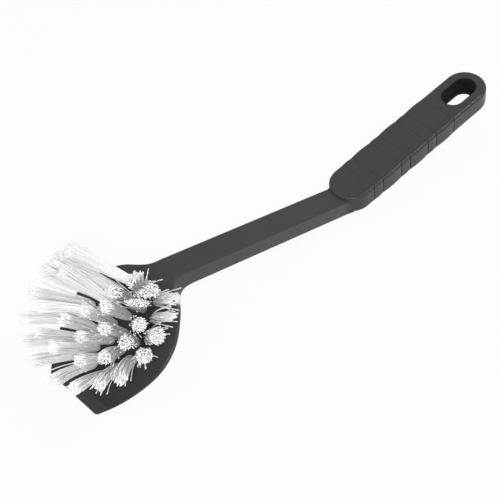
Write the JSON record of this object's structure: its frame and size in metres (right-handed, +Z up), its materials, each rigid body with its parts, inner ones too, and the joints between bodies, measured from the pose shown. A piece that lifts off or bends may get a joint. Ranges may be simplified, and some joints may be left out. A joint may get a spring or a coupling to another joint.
{
  "type": "dish brush",
  "caption": "Dish brush with a shield-shaped head, fanned white bristle tufts, a straight scraper lip, a flat bent neck and a grooved grip with a hanging slot",
  "frame": {"origin": "centre of the bounding box in plan, on the table that the brush lies on", "axes": "+X from the bristle tips to the hanging end of the grip, +Y across, +Z up, bristles upward, with the brush lying on its back on the scraper lip and the heel of the grip"},
  "size_m": [0.2932, 0.0728, 0.0643],
  "materials": {
    "handle_plastic": "dark grey moulded polypropylene, satin",
    "bristle_nylon": "milky white nylon filament",
    "anchor_wire": "flat rolled wire"
  },
  "bodies": {
    "root": {"handle": "handle_plastic", "anchor_staples": "anchor_wire", "tuft_r1_1": "bristle_nylon", "tuft_r1_2": "bristle_nylon", "tuft_r1_3": "bristle_nylon", "tuft_r2_1": "bristle_nylon", "tuft_r2_2": "bristle_nylon", "tuft_r2_3": "bristle_nylon", "tuft_r2_4": "bristle_nylon", "tuft_r3_1": "bristle_nylon", "tuft_r3_2": "bristle_nylon", "tuft_r3_3": "bristle_nylon", "tuft_r3_4": "bristle_nylon", "tuft_r3_5": "bristle_nylon", "tuft_r4_1": "bristle_nylon", "tuft_r4_2": "bristle_nylon", "tuft_r4_3": "bristle_nylon", "tuft_r4_4": "bristle_nylon", "tuft_r4_5": "bristle_nylon", "tuft_r4_6": "bristle_nylon", "tuft_r5_1": "bristle_nylon", "tuft_r5_2": "bristle_nylon", "tuft_r5_3": "bristle_nylon", "tuft_r5_4": "bristle_nylon", "tuft_r5_5": "bristle_nylon", "tuft_r6_1": "bristle_nylon", "tuft_r6_2": "bristle_nylon", "tuft_r6_3": "bristle_nylon", "tuft_r6_4": "bristle_nylon", "tuft_r7_1": "bristle_nylon", "tuft_r7_2": "bristle_nylon", "tuft_r7_3": "bristle_nylon"}
  },
  "joints": []
}
